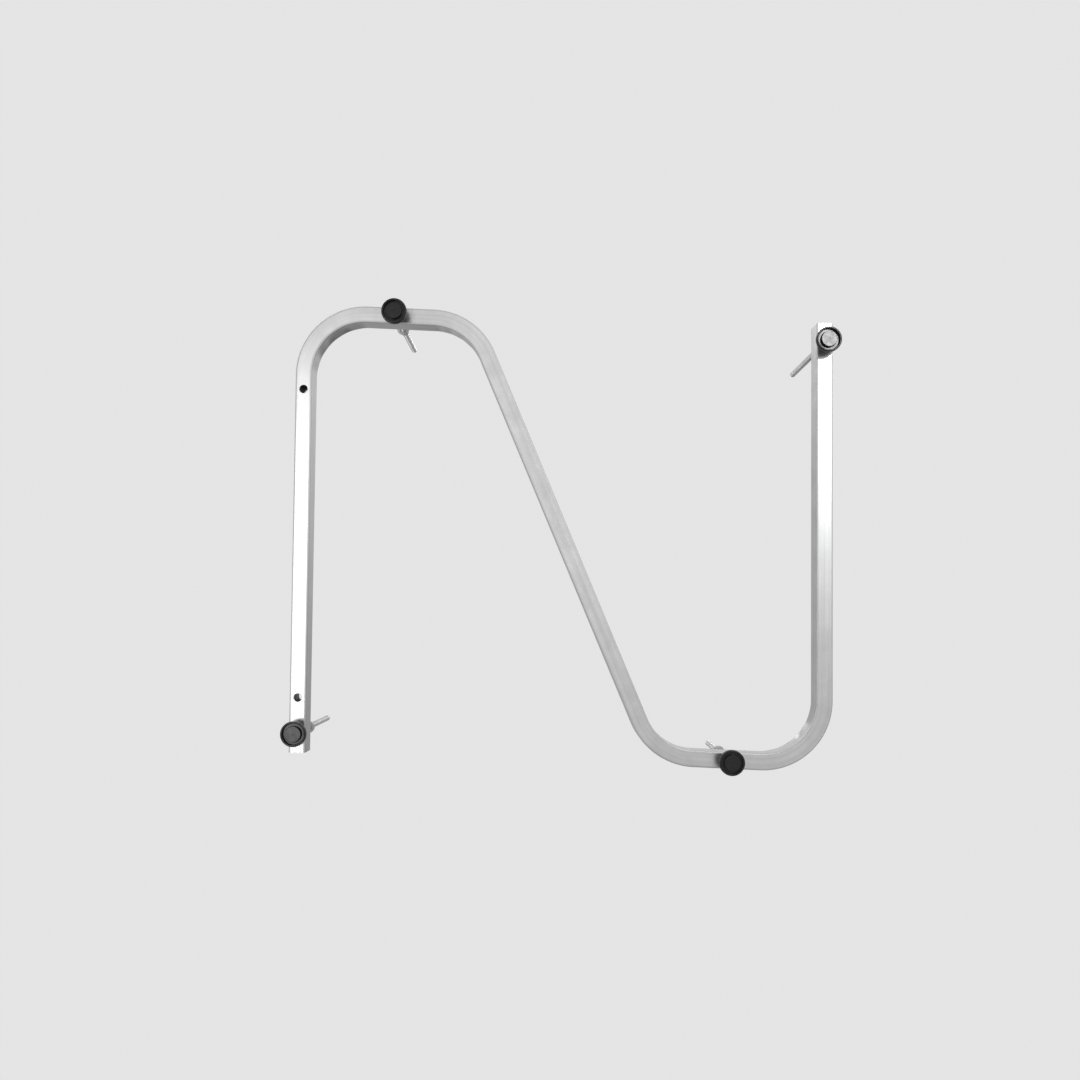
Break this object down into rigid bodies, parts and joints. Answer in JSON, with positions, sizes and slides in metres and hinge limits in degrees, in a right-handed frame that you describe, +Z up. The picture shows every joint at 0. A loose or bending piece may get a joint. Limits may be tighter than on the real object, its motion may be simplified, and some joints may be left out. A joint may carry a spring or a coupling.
{
  "type": "bath support frame",
  "caption": "Rounded N of bent square tube on adjustable screw feet with black moulded caps, which carries a bathtub on the floor.",
  "frame": {"origin": "on the floor, under the middle of the frame: the bottom centre of its box", "axes": "+Z up from the floor to the bath; +X across, from the drilled arm to the plain arm; +Y along the arms, from the left run's side to the open end of the drilled arm"},
  "size_m": [0.7336, 0.6253, 0.146],
  "materials": {
    "tube": "satin zinc plate with drawing lines along the tube",
    "bolt": "bright zinc plate, threaded",
    "nut": "bright zinc plate",
    "washer": "bright zinc plate",
    "cap": "moulded black plastic with a soft sheen"
  },
  "bodies": {
    "frame": {"frame_tube": "tube", "lower_washer_run_left": "washer", "lower_washer_arm_right": "washer", "lower_washer_arm_left": "washer", "lower_washer_run_right": "washer"},
    "foot_run_left": {"foot_cap_run_left": "cap", "foot_bolt_run_left": "bolt"},
    "lower_nut_run_left": {"lower_nut_run_left": "nut"},
    "upper_washer_run_left": {"upper_washer_run_left": "washer"},
    "upper_nut_run_left": {"upper_nut_run_left": "nut"},
    "foot_arm_right": {"foot_cap_arm_right": "cap", "foot_bolt_arm_right": "bolt"},
    "lower_nut_arm_right": {"lower_nut_arm_right": "nut"},
    "upper_washer_arm_right": {"upper_washer_arm_right": "washer"},
    "upper_nut_arm_right": {"upper_nut_arm_right": "nut"},
    "foot_arm_left": {"foot_cap_arm_left": "cap", "foot_bolt_arm_left": "bolt"},
    "lower_nut_arm_left": {"lower_nut_arm_left": "nut"},
    "upper_washer_arm_left": {"upper_washer_arm_left": "washer"},
    "upper_nut_arm_left": {"upper_nut_arm_left": "nut"},
    "foot_run_right": {"foot_cap_run_right": "cap", "foot_bolt_run_right": "bolt"},
    "lower_nut_run_right": {"lower_nut_run_right": "nut"},
    "upper_washer_run_right": {"upper_washer_run_right": "washer"},
    "upper_nut_run_right": {"upper_nut_run_right": "nut"}
  },
  "joints": [
    {"name": "run_left_height", "type": "slide", "parent": "frame", "child": "foot_run_left", "axis": [0, 0, -1], "range_m": [0, 0.055]},
    {"name": "run_left_lower_nut_turn", "type": "hinge", "parent": "frame", "child": "lower_nut_run_left", "pos_m": [-0.227, -0.29588, 0.011], "axis": [0, 0, 1], "continuous": true},
    {"name": "run_left_upper_washer_height", "type": "slide", "parent": "frame", "child": "upper_washer_run_left", "axis": [0, 0, 1], "range_m": [-0.0228, 0.0184]},
    {"name": "run_left_upper_nut_turn", "type": "hinge", "parent": "upper_washer_run_left", "child": "upper_nut_run_left", "pos_m": [-0.227, -0.29588, 0.0665], "axis": [0, 0, 1], "continuous": true},
    {"name": "arm_right_height", "type": "slide", "parent": "frame", "child": "foot_arm_right", "axis": [0, 0, -1], "range_m": [0, 0.055]},
    {"name": "arm_right_lower_nut_turn", "type": "hinge", "parent": "frame", "child": "lower_nut_arm_right", "pos_m": [0.35, -0.264, 0.011], "axis": [0, 0, 1], "continuous": true},
    {"name": "arm_right_upper_washer_height", "type": "slide", "parent": "frame", "child": "upper_washer_arm_right", "axis": [0, 0, 1], "range_m": [0, 0.0412]},
    {"name": "arm_right_upper_nut_turn", "type": "hinge", "parent": "upper_washer_arm_right", "child": "upper_nut_arm_right", "pos_m": [0.35, -0.264, 0.0437], "axis": [0, 0, 1], "continuous": true},
    {"name": "arm_left_height", "type": "slide", "parent": "frame", "child": "foot_arm_left", "axis": [0, 0, -1], "range_m": [0, 0.055]},
    {"name": "arm_left_lower_nut_turn", "type": "hinge", "parent": "frame", "child": "lower_nut_arm_left", "pos_m": [-0.35, 0.264, 0.011], "axis": [0, 0, 1], "continuous": true},
    {"name": "arm_left_upper_washer_height", "type": "slide", "parent": "frame", "child": "upper_washer_arm_left", "axis": [0, 0, 1], "range_m": [-0.0213, 0.0199]},
    {"name": "arm_left_upper_nut_turn", "type": "hinge", "parent": "upper_washer_arm_left", "child": "upper_nut_arm_left", "pos_m": [-0.35, 0.264, 0.065], "axis": [0, 0, 1], "continuous": true},
    {"name": "run_right_height", "type": "slide", "parent": "frame", "child": "foot_run_right", "axis": [0, 0, -1], "range_m": [0, 0.055]},
    {"name": "run_right_lower_nut_turn", "type": "hinge", "parent": "frame", "child": "lower_nut_run_right", "pos_m": [0.2235, 0.29575, 0.011], "axis": [0, 0, 1], "continuous": true},
    {"name": "run_right_upper_washer_height", "type": "slide", "parent": "frame", "child": "upper_washer_run_right", "axis": [0, 0, 1], "range_m": [-0.0383, 0.0029]},
    {"name": "run_right_upper_nut_turn", "type": "hinge", "parent": "upper_washer_run_right", "child": "upper_nut_run_right", "pos_m": [0.2235, 0.29575, 0.082], "axis": [0, 0, 1], "continuous": true}
  ],
  "couplings": [
    {"joint": "run_left_lower_nut_turn", "follows": "run_left_height", "rad_per_m": 5026.5},
    {"joint": "run_left_upper_nut_turn", "follows": "run_left_upper_washer_height", "rad_per_m": 5026.5},
    {"joint": "arm_right_lower_nut_turn", "follows": "arm_right_height", "rad_per_m": 5026.5},
    {"joint": "arm_right_upper_nut_turn", "follows": "arm_right_upper_washer_height", "rad_per_m": 5026.5},
    {"joint": "arm_left_lower_nut_turn", "follows": "arm_left_height", "rad_per_m": 5026.5},
    {"joint": "arm_left_upper_nut_turn", "follows": "arm_left_upper_washer_height", "rad_per_m": 5026.5},
    {"joint": "run_right_lower_nut_turn", "follows": "run_right_height", "rad_per_m": 5026.5},
    {"joint": "run_right_upper_nut_turn", "follows": "run_right_upper_washer_height", "rad_per_m": 5026.5}
  ]
}
